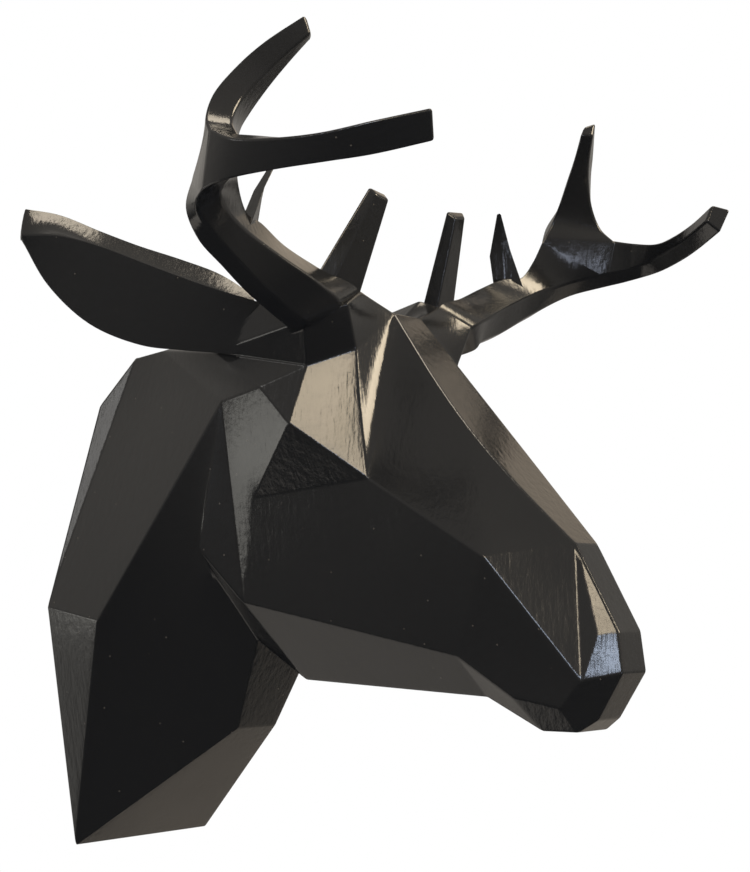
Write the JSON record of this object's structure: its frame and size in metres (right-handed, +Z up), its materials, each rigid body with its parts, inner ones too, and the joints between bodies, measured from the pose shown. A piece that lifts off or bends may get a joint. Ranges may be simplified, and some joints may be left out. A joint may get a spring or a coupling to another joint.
{
  "type": "stag head wall mount",
  "caption": "Faceted stag's head on a short neck with ears and forked antlers, one black-painted casting with a flat back that hangs on a wall as a decoration.",
  "frame": {"origin": "middle of the flat back, on the middle plane, where it rests on the wall", "axes": "+Z up, +Y out of the flat back into the wall, the muzzle points to -Y, +X is the deer's own left"},
  "size_m": [0.474, 0.407, 0.52],
  "materials": {
    "black_paint": "satin black lacquer over cast iron"
  },
  "bodies": {
    "root": {"stag_head": "black_paint"}
  },
  "joints": []
}
